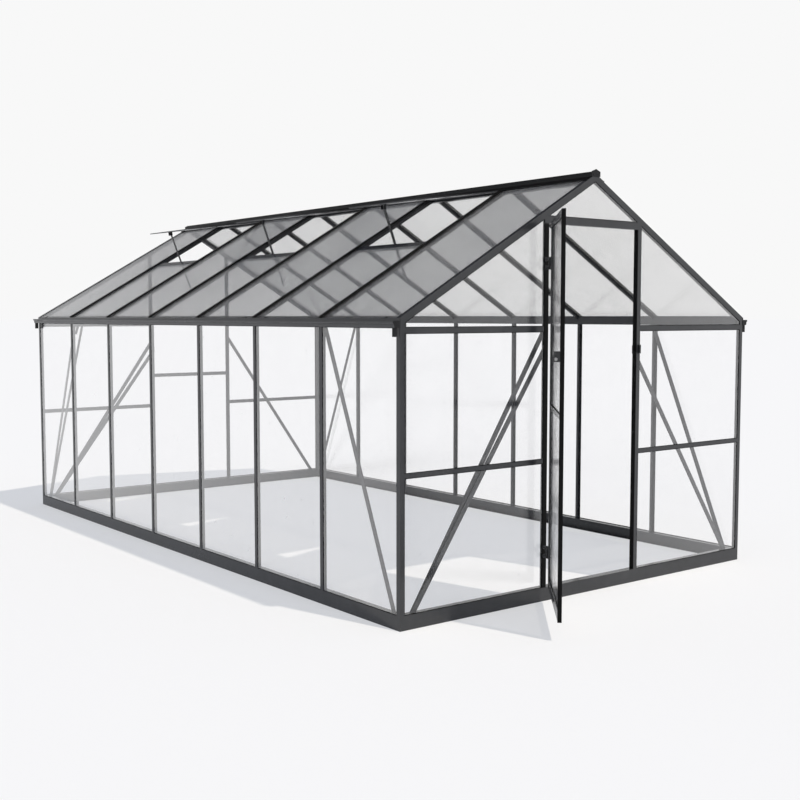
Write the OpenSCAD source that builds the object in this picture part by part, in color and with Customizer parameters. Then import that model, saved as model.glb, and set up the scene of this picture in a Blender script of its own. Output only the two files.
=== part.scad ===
// Greenhouse of aluminium glazing bars with clear wall sheets, a twin-wall roof,
// three roof vents on one slope and one hinged door in the front gable.
// Millimetres, Z up. The origin is under the middle of the front base rail.
// The front gable faces -Y, the ridge runs along +Y.

/* [House] */
// Number of glazing bays along each side wall
bays = 7; // [5:1:9]
// Distance from one glazing bar to the next along the side walls
bay_pitch = 620; // [520:5:750]
// Width of the house over the base rails
house_w = 2455; // [2000:5:3000]
// Height of the underside of the eaves beam
eaves_z = 1345; // [1150:5:1650]
// Slope of the roof in degrees
roof_pitch = 30; // [26:1:36]
// Clear width of the door opening between the jambs
door_opening_w = 650; // [540:2:760]

/* [Base and bars] */
// Height of the folded base rail
base_h = 68; // [50:1:110]
// Depth of the base rail from face to lip
base_d = 42; // [38:1:60]
// Wall of the base rail
base_t = 2.5; // [1.5:0.5:4]
// Width of the outer flange of a glazing bar
bar_w = 24; // [20:1:32]
// Depth of a glazing bar from flange to bead
bar_d = 26; // [20:1:34]
// Thickness of the outer flanges
flange_t = 2.5; // [2:0.5:4]
// Thickness of the webs
web_t = 3; // [2:0.5:4]
// Width of the bead on the inner edge of a glazing bar
bead_w = 10; // [7:1:14]
// Leg of the corner post, along each wall
post_w = 25; // [23:1:34]
// Width of the gables' upright bars
jamb_w = 25; // [22:1:34]
// Height of the flange of the gable rails
rail_w = 21; // [18:1:28]
// Height of the flange of the gable ties at the eaves
tie_w = 26; // [18:1:34]
// Height of the middle of the side bay rails in the gables
gable_rail_z = 692; // [450:1:950]
// Height of the middle of the centre rail in the rear gable
rear_rail_z = 930; // [600:1:1150]
// Width of a flat brace
brace_w = 25; // [15:1:32]
// Thickness of a flat brace
brace_t = 5; // [2:0.5:8]
// Height at which the gable braces cross the middle of the upright bars
gable_brace_z = 1208; // [900:1:1220]

/* [Glazing] */
// Thickness of the clear wall sheets
pane_t = 4; // [3:0.5:6]
// Thickness of the twin-wall roof sheets
sheet_t = 6; // [4:0.5:8]
// Gap left between a sheet's edge and the web beside it
edge_gap = 2; // [1:0.5:3]

/* [Roof] */
// Height of the raking bars, square to the slope
rake_h = 31; // [28:1:34]
// Depth of the raking bars
rake_d = 26; // [22:1:34]
// Height of the hollow rib on each rafter, above the roof sheets' flanges
rib_h = 6; // [4:1:14]
// Half of the width of the ridge beam
ridge_half = 20; // [16:1:26]
// Height of the ridge beam below the roof's apex
ridge_beam_h = 44; // [38:1:60]
// Length of each wing of the ridge cap down the slope
ridge_wing = 70; // [55:1:90]
// Height of the crown along the ridge, above the roof's surface
crown_h = 16; // [12:1:24]
// Width of the crown along the ridge
crown_w = 52; // [40:2:70]

/* [Gutter] */
// How far the gutter stands out from the wall
gutter_w = 40; // [34:1:60]
// Height of the gutter's outer lip
gutter_h = 29; // [22:1:36]
// Height of the gutter's back leg, in front of the roof sheets' ends
fascia_h = 41; // [41:1:50]
// How far the eaves beam stands in past the glazing bars
beam_lap = 4; // [2:1:12]
// Outer radius of an outlet stub
outlet_r = 11.5; // [9:0.5:13]
// Length of an outlet stub
outlet_l = 40; // [25:1:80]

/* [Roof vents] */
// Distance from the eaves up the slope to a vent's sill
sill_s = 750; // [600:5:900]
// Angle between an open vent and the roof, in degrees
vent_open = 22; // [5:1:40]
// Height of the vent frame's bars, square to the vent
vent_h = 6; // [6:0.5:14]
// Width of the vent frame's bars
vent_bar = 22; // [18:1:32]
// Length of a vent stay
stay_l = 430; // [330:5:480]

/* [Door] */
// Angle by which the door stands open, in degrees
door_open = 131.5; // [0:0.5:165]
// Drop from the raking bars at the jambs to the underside of the header
header_drop = 35; // [20:1:80]
// Height of the bottom of the door
door_bottom_z = 85; // [74:1:120]
// How far the door laps over the jamb on each side of the opening
door_lap = 4; // [2:1:8]
// Thickness of the door
door_t = 17; // [15:1:28]
// Clearance between the door and the frame behind it
door_gap = 8; // [7:0.5:12]
// Width of the door's stiles
stile_w = 30; // [26:1:40]
// Height of the middle of the door's centre rail
door_rail_z = 965; // [700:1:1200]
// Height of the door latch
latch_z = 1225; // [1080:1:1400]
// Height of a hinge
hinge_l = 61; // [45:1:90]
// Radius of a hinge pin
pin_r = 3; // [2:0.5:4]

/* [Hidden] */

$fn = 32;
tiny = 0.01;
seat = 0.3;                                      // gap of a piece that only rests
fit = 0.05;                                      // gap between sloping faces that meet
house_l = bays * bay_pitch;
half_w = house_w / 2;
tan_p = tan(roof_pitch);
cos_p = cos(roof_pitch);
sin_p = sin(roof_pitch);
eaves_top = eaves_z + fascia_h + 2;              // roof surface over the wall's face
apex_z = eaves_top + half_w * tan_p;             // roof surface at the ridge
slope_l = half_w / cos_p;
slot_d = 10;                                     // how deep a pane sits behind a flange
bead_t = 4;
bar_wall = 2;                                    // wall of the hollow bars
beam_d = bar_d + beam_lap;                       // depth of the eaves beam
jamb_x = door_opening_w / 2 + jamb_w / 2;        // middle of an upright bar
jamb_box = jamb_w - slot_d - 2;                  // width of a jamb's hollow part
foot_x = half_w - post_w - 71;                   // middle of a gable brace's foot
brace_step = 88;                                 // from a gable brace's top to its double's
header_h = 37;
header_z = rake_z(door_opening_w / 2) - header_drop;
tie_top_z = eaves_z + 1;
tie_z = tie_top_z - tie_w / 2;
vent_bays = [for (i = [1 : 2 : bays - 2]) i];
vent_side_gap = 3;                               // from a vent to the ribs beside it
bead_r = 5;                                      // bead that a vent turns on
wing_t = 2.5;
wing_s = slope_l - ridge_wing;                   // lower edge of the ridge cap
pivot_s = wing_s - bead_r - seat;
pivot_n = bead_r + seat;
sill_w = 30;
sill_h = bar_d - bead_t - flange_t;              // from the flanges to the beads
vent_l = pivot_s - sill_s - sill_w + 6;          // pivot to the vent's lower edge
vent_w = bay_pitch - bar_w - 2 * vent_side_gap;
panel_edge = vent_bar - 12;                      // from the frame's edge to its panel
panel_t = 3;                                     // thickness of a vent's panel
stay_w = 20;
stay_t = 3;
stay_foot_t = 3;
sheet_n = -flange_t - fit - sheet_t;             // underside of the roof sheets
ledge_t = 2;                                     // ledge of a rafter under the sheets
sheet_top_s = (half_w - ridge_half) / cos_p + sheet_n * tan_p - edge_gap;
sheet_over = 1;                                  // overhang of the roof sheets at the eaves
pin_gap = 0.1;                                   // running clearance round a hinge pin
knuckle_r = 6;
door_top_z = header_z + 6;
hinge_zs = [door_bottom_z + 165, door_top_z - 197];
leaf_t = 2.5;
ear_t = 4;
pin_x = -door_opening_w / 2 - jamb_w + ear_t / 2 + 1;
pin_y = -door_gap - door_t - knuckle_r + 1;
door_x0 = -door_opening_w / 2 - door_lap;
door_w = door_opening_w + 2 * door_lap;
hinge_side_gap = door_x0 - pin_x;                // from the pins to the door's edge
door_groove = 8;                                 // how deep a door pane sits in its bars
groove_w = pane_t + 2 * seat;
bottom_rail_h = 45;
top_rail_h = 30;
mid_rail_h = 20;
tab_out = 28;                                    // how far the latch tab stands out
tab_h = 45;
tab_t = 4;
tab_hole_r = 7;
keeper_out = 14;                                 // how far the keeper stands out

frame_col = [0.23, 0.24, 0.25];
clear_col = [0.80, 0.85, 0.88, 0.35];
roof_col = [0.72, 0.74, 0.76, 0.7];

// ---------- Frames of reference ----------

// Draws its children in a side wall: X runs towards the front, Y inwards, Z up.
module in_side_wall(side) {
    mirror([side > 0 ? 1 : 0, 0, 0])
        translate([-half_w, 0, 0])
            rotate([0, 0, -90])
                children();
}

// Draws its children in a gable: Y runs inwards. The rear one is turned about.
module in_gable(rear) {
    translate([0, rear ? house_l : 0, 0])
        rotate([0, 0, rear ? 180 : 0])
            children();
}

// Draws its children on a roof slope: X up the slope, Y back, Z out of the roof.
module on_slope(side) {
    mirror([side > 0 ? 1 : 0, 0, 0])
        translate([-half_w, 0, eaves_top])
            rotate([0, -roof_pitch, 0])
                children();
}

// Draws its children on the closed door; they turn with it about the hinge pins.
module on_door() {
    translate([pin_x, pin_y, 0])
        rotate([0, 0, -door_open])
            translate([-pin_x, -pin_y, 0])
                children();
}

// ---------- Sections and bars ----------

// Glazing bar: flange on the outside, web, and a bead on the inner edge.
module bar_section(w) {
    translate([-w / 2, 0])
        square([w, flange_t]);
    translate([-web_t / 2, flange_t - tiny])
        square([web_t, bar_d - flange_t]);
    translate([-bead_w / 2, bar_d - bead_t])
        square([bead_w, bead_t]);
}

// Web and bead only, for the part of a rafter between the beam and the ridge.
module web_section() {
    translate([-web_t / 2, 0])
        square([web_t, bar_d]);
    translate([-bead_w / 2, bar_d - bead_t])
        square([bead_w, bead_t]);
}

// Hollow gable bar: a wide flange, and a tube set to the side away from the pane.
module jamb_section() {
    translate([-jamb_w / 2, 0])
        square([jamb_w, flange_t]);
    translate([jamb_w / 2 - jamb_box, 0])
        difference() {
            square([jamb_box, bar_d]);
            translate([bar_wall, flange_t])
                square([jamb_box - 2 * bar_wall, bar_d - flange_t - bar_wall]);
        }
}

// Corner post: an angle over both walls' edges with a square tube inside it.
module post_section() {
    square([post_w, flange_t]);
    square([flange_t, post_w]);
    square([slot_d, slot_d]);
    translate([slot_d - 1, slot_d - 1])
        difference() {
            square(post_w - slot_d - 1);
            translate([bar_wall, bar_wall])
                square(post_w - slot_d - 1 - 2 * bar_wall);
        }
}

// Raking bar: a grooved face, a top leg over the roof sheet, and a tube behind the
// pane that closes its underside. Their neck stands between the two sheets' edges.
module rake_section() {
    groove = 0.8;
    tube_x = flange_t + pane_t + seat;
    tube_h = rake_h + sheet_n - fit;
    difference() {
        translate([0, -rake_h])
            square([flange_t, rake_h]);
        translate([0, -rake_h / 2])
            circle(r = groove, $fn = 4);
    }
    translate([0, -flange_t])
        square([rake_d, flange_t]);
    translate([0, slot_d + edge_gap - rake_h])
        square([slot_d - edge_gap, rake_h - slot_d - edge_gap]);
    translate([tube_x, -rake_h])
        difference() {
            square([rake_d - tube_x, tube_h]);
            translate([bar_wall, bar_wall])
                square([rake_d - tube_x - 2 * bar_wall, tube_h - 2 * bar_wall]);
        }
}

// Horizontal glazing bar in a gable from x0 to x1, its middle at z and w high.
module gable_rail(x0, x1, z, w) {
    translate([x0, 0, z])
        rotate([90, 0, 90])
            linear_extrude(x1 - x0)
                mirror([1, -1, 0])
                    bar_section(w);
}

// Height of the underside of the raking bars at a distance x from the middle.
function rake_z(x) = apex_z - abs(x) * tan_p - rake_h / cos_p;

// Everything in a gable above the underside of its raking bars.
module above_rakes() {
    big = house_w;
    for (side = [-1, 1])
        on_slope(side)
            translate([-big, -1, -rake_h])
                cube([2 * big, house_l + 2, big]);
}

// Flat bar in a wall's plane from a to b, with level ends.
module brace(a, b) {
    run = b[0] - a[0];
    rise = b[1] - a[1];
    half = brace_w / 2 * norm([run, rise]) / rise;
    rotate([90, 0, 0])
        linear_extrude(brace_t)
            polygon([[a[0] - half, a[1]], [a[0] + half, a[1]],
                     [b[0] + half, b[1]], [b[0] - half, b[1]]]);
}

// ---------- Base ----------

// Folded channel of length len, mitred at both ends, its face at Y = 0.
module base_rail(len) {
    color(frame_col)
        difference() {
            linear_extrude(base_h)
                polygon([[-len / 2, 0], [len / 2, 0],
                         [len / 2 - base_d, base_d], [base_d - len / 2, base_d]]);
            translate([-len, base_t, base_t])
                cube([2 * len, base_d, base_h - 2 * base_t]);
        }
}

module base_front() base_rail(house_w);

module base_rear() in_gable(true) base_rail(house_w);

module base_side(side)
    in_side_wall(side)
        translate([-house_l / 2, 0, 0])
            base_rail(house_l);

// ---------- Side walls ----------

module corner_posts()
    color(frame_col)
        for (rear = [false, true], side = [0, 1])
            in_gable(rear)
                mirror([side, 0, 0])
                    translate([-half_w, 0, 0])
                        difference() {
                            translate([0, 0, base_h])
                                linear_extrude(eaves_top - base_h)
                                    post_section();
                            translate([half_w, 0, 0])
                                above_rakes();
                        }

module wall_studs(side)
    color(frame_col)
        in_side_wall(side)
            for (i = [1 : bays - 1])
                translate([-i * bay_pitch, 0, base_h])
                    linear_extrude(eaves_z - base_h)
                        bar_section(bar_w);

// Box beam under the lower ends of the roof bars, sloped on top as the roof is.
module eaves_beam(side) {
    module outline(inset) {
        low = eaves_z + inset;
        top = eaves_top + (sheet_n - fit - inset) / cos_p;
        polygon([[inset, low], [beam_d - inset, low],
                 [beam_d - inset, top + (beam_d - inset) * tan_p],
                 [inset, top + inset * tan_p]]);
    }
    color(frame_col)
        mirror([side > 0 ? 1 : 0, 0, 0])
            translate([-half_w, house_l - rake_d, 0])
                rotate([90, 0, 0])
                    linear_extrude(house_l - 2 * rake_d)
                        difference() {
                            outline(0);
                            outline(bar_wall);
                        }
}

// Outline of the gutter: X outwards, Y up. Steps out twice, then flares to its lip.
module gutter_outline(inset) {
    w = gutter_w;
    h = gutter_h;
    polygon([[inset, inset], [w * 0.76 - inset, inset], [w * 0.84 - inset, h * 0.30],
             [w * 0.84 - inset, h * 0.55], [w - inset, h * 0.70], [w - inset, h + inset],
             [inset, h + inset]]);
}

// The gutter's outline with its back leg, before it is hollowed.
module gutter_full_section() {
    gutter_outline(0);
    square([bar_wall, fascia_h]);
}

module gutter(side)
    color(frame_col)
        mirror([side > 0 ? 1 : 0, 0, 0])
            translate([-half_w, 0, eaves_z])
                rotate([90, 0, 180])
                    linear_extrude(house_l)
                        difference() {
                            gutter_full_section();
                            gutter_outline(bar_wall);
                        }

// End plates of both gutters, and the outlet stubs under their ends.
module gutter_ends() {
    cap_t = 2.5;
    color(frame_col)
        for (rear = [false, true], side = [0, 1])
            in_gable(rear)
                mirror([side, 0, 0])
                    translate([-half_w, 0, eaves_z]) {
                        rotate([90, 0, 0])
                            mirror([1, 0, 0])
                                linear_extrude(cap_t)
                                    gutter_full_section();
                        translate([-gutter_w / 2, outlet_r + 0.5, -outlet_l])
                            difference() {
                                cylinder(h = outlet_l, r = outlet_r);
                                translate([0, 0, -1])
                                    cylinder(h = outlet_l + 2, r = outlet_r - bar_wall);
                            }
                    }
}

// ---------- Gables ----------

// The two upright bars of a gable, from the base to the raking bars. Those at the
// front are the jambs of the doorway.
module gable_uprights(rear)
    color(frame_col)
        in_gable(rear)
            for (side = [0, 1])
                mirror([side, 0, 0])
                    difference() {
                        translate([-jamb_x, 0, base_h])
                            linear_extrude(apex_z - base_h) {
                                if (rear)
                                    bar_section(jamb_w);
                                else
                                    jamb_section();
                            }
                        above_rakes();
                    }

module door_header()
    color(frame_col)
        difference() {
            translate([-door_opening_w / 2, 0, header_z + header_h / 2])
                rotate([90, 0, 90])
                    linear_extrude(door_opening_w)
                        header_section();
            above_rakes();
        }

// Header: a flange in the gable's face and a tube behind its lower part.
module header_section() {
    tube_h = header_h - slot_d - 1;
    translate([0, -header_h / 2])
        square([flange_t, header_h]);
    translate([0, -header_h / 2])
        difference() {
            square([bar_d, tube_h]);
            translate([flange_t, bar_wall])
                square([bar_d - flange_t - bar_wall, tube_h - 2 * bar_wall]);
        }
}

// A pair of rails at height z and w high in the side bays of a gable.
module side_bay_rails(rear, z, w)
    color(frame_col)
        in_gable(rear)
            for (side = [0, 1])
                mirror([side, 0, 0])
                    gable_rail(-half_w + post_w, -jamb_x - jamb_w / 2, z, w);

module gable_ties(rear) side_bay_rails(rear, tie_z, tie_w);

module gable_rails_front() side_bay_rails(false, gable_rail_z, rail_w);

module gable_rails_rear() {
    side_bay_rails(true, gable_rail_z, rail_w);
    color(frame_col)
        in_gable(true)
            gable_rail(-door_opening_w / 2, door_opening_w / 2, rear_rail_z, rail_w);
}

// Flat brace across a gable's upright bar at height z, in the given layer behind it.
// Its end is cut off in line with the bar's edge.
module gable_brace(z, layer) {
    past = jamb_w;                               // how far it would run past the bar
    rise = (z - base_h) / (foot_x - jamb_x);
    intersection() {
        translate([0, bar_d + layer * brace_t, 0])
            brace([-foot_x, base_h], [past - jamb_x, z + past * rise]);
        translate([-half_w, 0, 0])
            cube([half_w - door_opening_w / 2, base_d + 3 * brace_t, eaves_z]);
    }
}

// Braces in all four side bays, doubled in the bay on the left of each gable.
module gable_braces()
    color(frame_col)
        for (rear = [false, true], side = [0, 1])
            in_gable(rear)
                mirror([side, 0, 0]) {
                    gable_brace(gable_brace_z, 1);
                    if (side == (rear ? 1 : 0))
                        gable_brace(gable_brace_z + (rear ? -1 : 1) * brace_step, 2);
                }

// Flat braces across the end bays of the side walls. The left wall's rear bay has
// a second one, and a short knee from its first stud to the eaves.
module wall_braces() {
    foot = post_w + 56;
    stud = bay_pitch - house_l;
    knee = 75;
    color(frame_col)
        for (side = [-1, 1])
            in_side_wall(side) {
                translate([0, bar_d + brace_t, 0]) {
                    brace([-foot, base_h], [-bay_pitch, eaves_z]);
                    brace([foot - house_l, base_h], [stud, eaves_z]);
                    if (side < 0)
                        brace([stud + 8, eaves_z - knee], [stud + 65, eaves_z]);
                }
                if (side < 0)
                    translate([0, bar_d + 2 * brace_t, 0])
                        brace([foot - house_l, base_h], [stud + 120, eaves_z]);
            }
}

// ---------- Wall glazing ----------

// Clear sheets in a side wall, one in each bay, behind the bars' flanges.
module wall_panes(side)
    color(clear_col)
        in_side_wall(side)
            for (i = [0 : bays - 1]) {
                near = i == 0 ? slot_d + edge_gap : web_t / 2 + edge_gap;
                far = i == bays - 1 ? slot_d + edge_gap : web_t / 2 + edge_gap;
                translate([far - (i + 1) * bay_pitch, flange_t, base_h])
                    cube([bay_pitch - near - far, pane_t, eaves_z - base_h]);
            }

// Clear sheet in a gable from x0 to x1 and z0 to z1, cut to the roof's slope.
module gable_pane(x0, x1, z0, z1)
    difference() {
        translate([x0, flange_t, z0])
            cube([x1 - x0, pane_t, z1 - z0]);
        translate([0, 0, slot_d / cos_p])
            above_rakes();
    }

// The three sheets of one side bay: below the rail, up to the tie, and above it.
// They end at x1, beside the upright bar.
module side_bay_panes(x1) {
    x0 = -half_w + slot_d + edge_gap;
    gap = web_t / 2 + edge_gap;
    gable_pane(x0, x1, base_h, gable_rail_z - gap);
    gable_pane(x0, x1, gable_rail_z + gap, tie_z - gap);
    gable_pane(x0, x1, tie_z + gap, apex_z);
}

module gable_panes_front()
    color(clear_col) {
        for (side = [0, 1])
            mirror([side, 0, 0])
                side_bay_panes(-jamb_x + jamb_w / 2 - jamb_box - edge_gap);
        gable_pane(-door_opening_w / 2 + edge_gap, door_opening_w / 2 - edge_gap,
                   header_z + header_h - slot_d + edge_gap, apex_z);
    }

module gable_panes_rear()
    color(clear_col)
        in_gable(true) {
            gap = web_t / 2 + edge_gap;
            x1 = jamb_x - gap;
            for (side = [0, 1])
                mirror([side, 0, 0])
                    side_bay_panes(-jamb_x - gap);
            gable_pane(-x1, x1, base_h, rear_rail_z - gap);
            gable_pane(-x1, x1, rear_rail_z + gap, apex_z);
        }

// ---------- Roof ----------

// The two raking bars of a gable, cut plumb at the ridge and over the corners.
module raking_bars(rear)
    color(frame_col)
        in_gable(rear)
            for (side = [0, 1])
                mirror([side, 0, 0])
                    intersection() {
                        on_slope(-1)
                            translate([-rake_h, 0, 0])
                                rotate([90, 0, 90])
                                    linear_extrude(slope_l + 2 * rake_h)
                                        rake_section();
                        translate([-half_w, -1, 0])
                            cube([half_w - fit, rake_d + 2, apex_z + 1]);
                    }

// Hollow beam along the ridge, between the raking bars.
module ridge_beam() {
    module outline(inset) {
        x = ridge_half - inset;
        top = apex_z - (fit + inset) / cos_p;
        polygon([[-x, apex_z - ridge_beam_h + inset], [x, apex_z - ridge_beam_h + inset],
                 [x, top - x * tan_p], [0, top], [-x, top - x * tan_p]]);
    }
    color(frame_col)
        translate([0, house_l - rake_d, 0])
            rotate([90, 0, 0])
                linear_extrude(house_l - 2 * rake_d)
                    difference() {
                        outline(0);
                        outline(bar_wall);
                    }
}

// Left half of the ridge cap: a wing down the slope with fine ribs along it.
module ridge_wing_section() {
    rib_w = 2;
    rib_step = 10;
    intersection() {
        translate([-half_w, eaves_top])
            rotate(roof_pitch)
                translate([wing_s, fit]) {
                    square([ridge_wing + 2 * wing_t, wing_t]);
                    square([2 * rib_w, 2 * wing_t]);
                    for (k = [1 : 3])
                        translate([k * rib_step, 0])
                            square([rib_w, 1.5 * wing_t]);
                }
        translate([-half_w, 0])
            square([half_w, 2 * apex_z]);
    }
}

// Outline of the crown, from a height above the roof's surface up to its top.
module crown_outline(inset, bottom) {
    x = crown_w / 2 - inset;
    low = apex_z + bottom;
    top = apex_z + crown_h - inset / cos_p;
    polygon([[-x, low - x * tan_p], [0, low], [x, low - x * tan_p],
             [x, top - x * tan_p], [0, top], [-x, top - x * tan_p]]);
}

// The ridge cap's section: two wings and the hollow crown over them.
module ridge_cap_section() {
    for (side = [0, 1])
        mirror([side, 0])
            ridge_wing_section();
    difference() {
        crown_outline(0, (fit + wing_t / 2) / cos_p);
        crown_outline(bar_wall, 0);
    }
}

module ridge_cap()
    color(frame_col)
        translate([0, house_l, 0])
            rotate([90, 0, 0])
                linear_extrude(house_l)
                    ridge_cap_section();

// Plate over the end of the crown, standing proud of its outline by the given margin.
module ridge_end_cap(margin) {
    cap_t = 3;
    cap_x = crown_w / 2 + margin / 2;
    low = apex_z - 12;
    peak = apex_z + crown_h + margin;
    shoulder = peak - 12;
    rotate([90, 0, 0])
        linear_extrude(cap_t)
            polygon([[-cap_x, low], [-cap_x, shoulder], [0, peak],
                     [cap_x, shoulder], [cap_x, low]]);
}

module ridge_end_caps()
    color(frame_col) {
        ridge_end_cap(9);
        in_gable(true)
            ridge_end_cap(1);
    }

// A rafter's hollow rib over the sheets, open at its top end under the ridge cap.
module rafter_rib() {
    rib_l = wing_s - seat;
    difference() {
        translate([0, -bar_w / 2, -flange_t])
            cube([rib_l, bar_w, flange_t + rib_h]);
        translate([bar_wall, bar_wall - bar_w / 2, 0])
            cube([rib_l, bar_w - 2 * bar_wall, rib_h - bar_wall]);
    }
}

// A rafter's lower part: the web, its bead and a ledge under the sheets' edges.
module rafter_web_section() {
    web_section();
    translate([-bar_w / 2, fit - sheet_n])
        square([bar_w, ledge_t]);
}

// Roof bars: the flange and its rib run down to the eaves, the rest stops at the beam.
module rafters(side)
    color(frame_col)
        mirror([side > 0 ? 1 : 0, 0, 0])
            for (i = [1 : bays - 1])
                translate([0, i * bay_pitch, 0])
                    intersection() {
                        union() {
                            on_slope(-1) {
                                rafter_rib();
                                translate([0, -bar_w / 2, -flange_t])
                                    cube([slope_l, bar_w, flange_t]);
                            }
                            intersection() {
                                on_slope(-1)
                                    rotate([90, 0, 90])
                                        linear_extrude(slope_l)
                                            mirror([0, 1, 0])
                                                rafter_web_section();
                                translate([beam_d - half_w, -bar_w, 0])
                                    cube([half_w, 2 * bar_w, 2 * apex_z]);
                            }
                        }
                        translate([-2 * half_w, -bar_w, 0])
                            cube([2 * half_w - ridge_half, 2 * bar_w, 2 * apex_z]);
                    }

// Twin-wall sheets of one slope; under a vent a sheet stops at the sill.
module roof_sheets(side)
    color(roof_col)
        on_slope(side)
            for (i = [0 : bays - 1]) {
                near = i == 0 ? slot_d : web_t / 2 + edge_gap;
                far = i == bays - 1 ? slot_d : web_t / 2 + edge_gap;
                vented = side < 0 && len(search(i, vent_bays)) > 0;
                top = vented ? sill_s - edge_gap : sheet_top_s;
                translate([-sheet_over, i * bay_pitch + near, sheet_n])
                    cube([top + sheet_over, bay_pitch - near - far, sheet_t]);
            }

// ---------- Roof vents ----------

// Cross bars at the foot of the vent openings, lapped over the sheets below.
module vent_sills()
    color(frame_col)
        on_slope(-1)
            for (i = vent_bays)
                translate([sill_s, i * bay_pitch, 0]) {
                    translate([0, bar_w / 2, -flange_t - sill_h])
                        difference() {
                            cube([sill_w, bay_pitch - bar_w, sill_h]);
                            translate([bar_wall, -1, bar_wall])
                                cube([sill_w - 2 * bar_wall, bay_pitch, sill_h - 2 * bar_wall]);
                        }
                    translate([-slot_d, bar_w / 2, -flange_t])
                        cube([slot_d + sill_w, bay_pitch - bar_w, flange_t]);
                }

// Draws its children in a vent: X runs down from its pivot to its lower edge.
module in_vent(i)
    on_slope(-1)
        translate([pivot_s, (i + 0.5) * bay_pitch, pivot_n])
            rotate([0, vent_open, 0])
                mirror([1, 0, 0])
                    children();

// Vent frames: four bars grooved for the panel, with the bead they turn on.
module vent_frames()
    color(frame_col)
        for (i = vent_bays)
            in_vent(i)
                difference() {
                    union() {
                        translate([0, -vent_w / 2, -vent_h / 2])
                            cube([vent_l, vent_w, vent_h]);
                        rotate([90, 0, 0])
                            cylinder(h = vent_w, r = bead_r, center = true);
                    }
                    translate([-bead_r - 1, -vent_w, bead_r / 2])
                        cube([bead_r + 1, 2 * vent_w, vent_h]);
                    translate([vent_bar, vent_bar - vent_w / 2, -vent_h])
                        cube([vent_l - 2 * vent_bar, vent_w - 2 * vent_bar, 3 * vent_h]);
                    translate([panel_edge, panel_edge - vent_w / 2, -panel_t / 2 - fit])
                        cube([vent_l - 2 * panel_edge, vent_w - 2 * panel_edge,
                              panel_t + 2 * fit]);
                }

module vent_panels()
    color(roof_col)
        for (i = vent_bays)
            in_vent(i)
                translate([panel_edge + seat, panel_edge + seat - vent_w / 2, -panel_t / 2])
                    cube([vent_l - 2 * (panel_edge + seat),
                          vent_w - 2 * (panel_edge + seat), panel_t]);

// A stay hangs from the vent's lower bar and passes behind the sill.
stay_a = vent_l - vent_bar / 2;
stay_n = -vent_h / 2 - fit - stay_foot_t / 2;
stay_top = vent_point(stay_a, stay_n);
stay_hook = slope_point(sill_s + sill_w + 10, -flange_t - sill_h / 2);
stay_dir = (stay_hook - stay_top) / norm(stay_hook - stay_top);
stay_end = stay_top + stay_l * stay_dir;

// World [x, z] of a point on the left slope, s up from the eaves and n out of the roof.
function slope_point(s, n) = [-half_w + s * cos_p - n * sin_p, eaves_top + s * sin_p + n * cos_p];

// World [x, z] of a point of a vent, a down from its pivot and n out of it.
function vent_point(a, n) = slope_point(
    pivot_s - a * cos(vent_open) + n * sin(vent_open),
    pivot_n + a * sin(vent_open) + n * cos(vent_open));

// Flat stays with a row of peg holes. Each hangs between the two cheeks of a foot
// plate under the vent's lower bar.
module vent_stays() {
    cheek_h = 24;
    foot = vent_bar - 4;
    reach = stay_end - stay_top;
    turn = atan2(-reach[1], reach[0]);
    color(frame_col)
        for (i = vent_bays) {
            in_vent(i)
                translate([stay_a, 0, stay_n]) {
                    cube([foot, 2 * stay_w, stay_foot_t], center = true);
                    for (side = [-1, 1])
                        translate([0, side * (stay_w + stay_t) / 2, -cheek_h / 2])
                            cube([foot, stay_t, cheek_h], center = true);
                }
            translate([stay_top[0], (i + 0.5) * bay_pitch, stay_top[1]])
                rotate([0, turn, 0])
                    difference() {
                        translate([0, -stay_w / 2, -stay_t / 2])
                            cube([stay_l, stay_w, stay_t]);
                        for (k = [2 : 7])
                            translate([stay_l * k / 9, 0, -stay_t])
                                cylinder(h = 2 * stay_t, r = 2.5);
                    }
        }
}

// ---------- Door ----------

// Upright door bar: a tube with a groove for the pane on its inner side.
module stile_section() {
    difference() {
        square([stile_w, door_t]);
        translate([bar_wall, bar_wall])
            square([stile_w - door_groove - 3 * bar_wall, door_t - 2 * bar_wall]);
        translate([stile_w - door_groove, (door_t - groove_w) / 2])
            square([door_groove + 1, groove_w]);
    }
}

module door_stiles()
    color(frame_col)
        on_door()
            for (side = [0, 1])
                translate([door_x0 + door_w / 2, -door_gap - door_t, door_bottom_z])
                    mirror([side, 0, 0])
                        translate([-door_w / 2, 0, 0])
                            linear_extrude(door_top_z - door_bottom_z)
                                stile_section();

// Cross bar of the door, grooved for a pane above it, below it or both.
module door_rail(z0, h, above, below)
    translate([door_x0 + stile_w, -door_gap - door_t, z0])
        difference() {
            cube([door_w - 2 * stile_w, door_t, h]);
            if (above)
                translate([-1, (door_t - groove_w) / 2, h - door_groove])
                    cube([door_w, groove_w, door_groove + 1]);
            if (below)
                translate([-1, (door_t - groove_w) / 2, -1])
                    cube([door_w, groove_w, door_groove + 1]);
        }

module door_rails()
    color(frame_col)
        on_door() {
            door_rail(door_bottom_z, bottom_rail_h, true, false);
            door_rail(door_rail_z - mid_rail_h / 2, mid_rail_h, true, true);
            door_rail(door_top_z - top_rail_h, top_rail_h, false, true);
        }

// Clear door pane between the rails whose edges are at z0 and z1.
module door_pane(z0, z1) {
    lap = door_groove - seat;
    translate([door_x0 + stile_w - lap, -door_gap - door_t / 2 - pane_t / 2, z0 - lap])
        cube([door_w - 2 * stile_w + 2 * lap, pane_t, z1 - z0 + 2 * lap]);
}

module door_panes()
    color(clear_col)
        on_door() {
            door_pane(door_bottom_z + bottom_rail_h, door_rail_z - mid_rail_h / 2);
            door_pane(door_rail_z + mid_rail_h / 2, door_top_z - top_rail_h);
        }

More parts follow.
